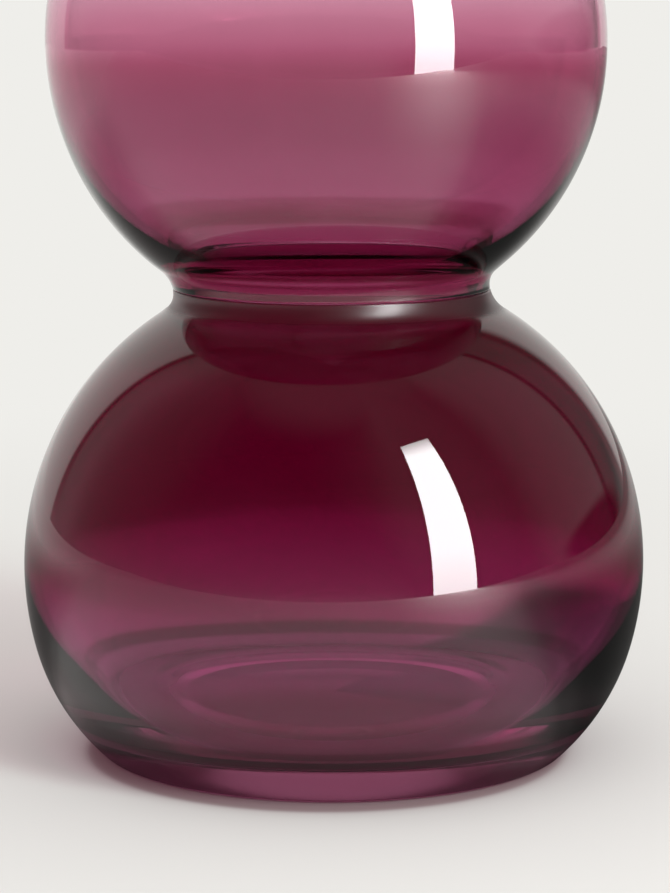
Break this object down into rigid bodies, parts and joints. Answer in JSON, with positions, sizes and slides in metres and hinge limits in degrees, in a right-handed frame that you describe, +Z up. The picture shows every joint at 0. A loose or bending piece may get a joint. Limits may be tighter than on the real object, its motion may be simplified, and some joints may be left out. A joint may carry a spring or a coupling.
{
  "type": "double gourd vase",
  "caption": "Blown glass flower vase of two round bulbs, one above the other, joined at a narrow waist, on a flat ring foot, with a short neck and flared lip.",
  "frame": {"origin": "centre of the foot, on the surface that the vase stands on", "axes": "+Z up along the vase's axis; the vase is round, so +X and +Y are free: the picture is seen along +Y with +X to its right"},
  "size_m": [0.15, 0.15, 0.2433],
  "materials": {
    "lower_glass": "fire-polished, clear deep burgundy",
    "upper_glass": "fire-polished, clear wine red, paler towards the top"
  },
  "bodies": {
    "root": {"lower_bulb": "lower_glass", "upper_bulb": "upper_glass"}
  },
  "joints": []
}
